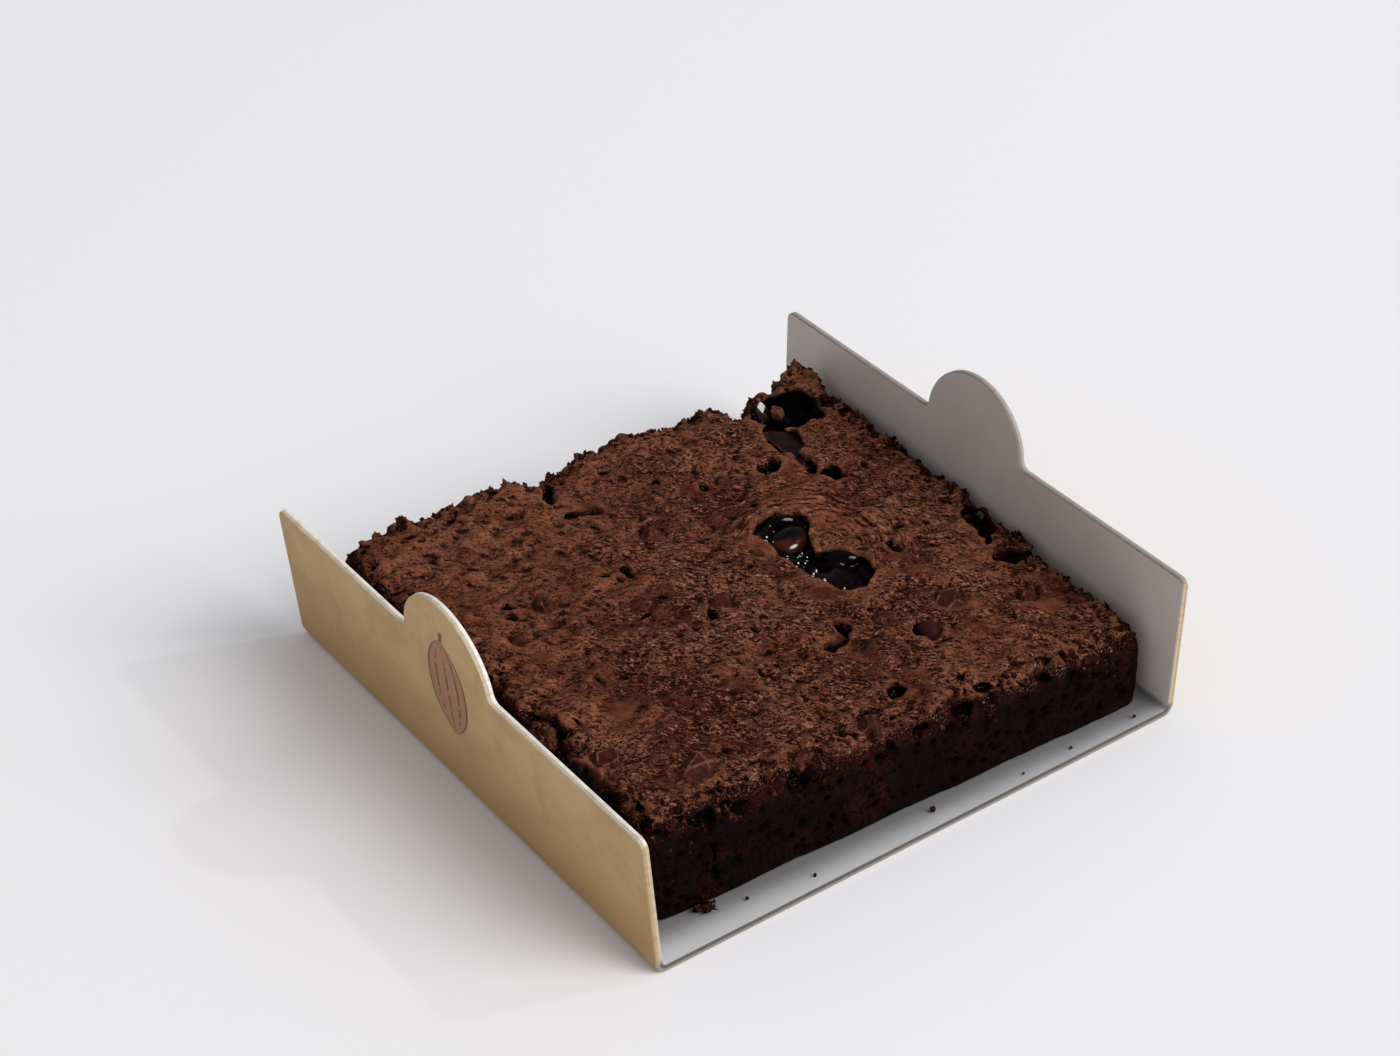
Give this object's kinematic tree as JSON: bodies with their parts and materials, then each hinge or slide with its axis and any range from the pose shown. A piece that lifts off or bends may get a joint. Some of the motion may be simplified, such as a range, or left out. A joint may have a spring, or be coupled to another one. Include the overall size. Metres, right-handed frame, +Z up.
{
  "type": "chocolate brownie",
  "caption": "Square cut chocolate brownie with chopped chocolate and a molten middle, resting in its open-ended folded card tray with a round thumb tab on each side wall.",
  "frame": {"origin": "middle of the card tray's flat underside", "axes": "+X towards the upright wall, -Y towards the open front and the cut face that shows, +Z up"},
  "size_m": [0.1039, 0.098, 0.0373],
  "materials": {
    "kraft_card": "matte",
    "cocoa_crumb": "matte",
    "molten_chocolate": "gloss",
    "melted_lump": "gloss",
    "chopped_chocolate": "satin",
    "dark_chocolate": "satin"
  },
  "bodies": {
    "root": {"card_tray": "kraft_card", "brownie_slab": "cocoa_crumb", "molten_chocolate": "molten_chocolate", "molten_lump": "melted_lump", "chocolate_drop": "dark_chocolate", "chocolate_chunk_1": "chopped_chocolate", "chocolate_chunk_2": "chopped_chocolate", "chocolate_chunk_3": "chopped_chocolate", "chocolate_chunk_4": "chopped_chocolate", "chocolate_chunk_5": "chopped_chocolate", "chocolate_chunk_6": "chopped_chocolate", "chocolate_chunk_7": "chopped_chocolate", "chocolate_chunk_8": "chopped_chocolate", "chocolate_chunk_9": "chopped_chocolate", "chocolate_chunk_10": "chopped_chocolate", "chocolate_chunk_11": "chopped_chocolate", "chocolate_chunk_12": "chopped_chocolate", "chocolate_chunk_13": "chopped_chocolate", "corner_shard_1": "dark_chocolate", "corner_shard_2": "dark_chocolate", "corner_shard_3": "dark_chocolate"}
  },
  "joints": []
}
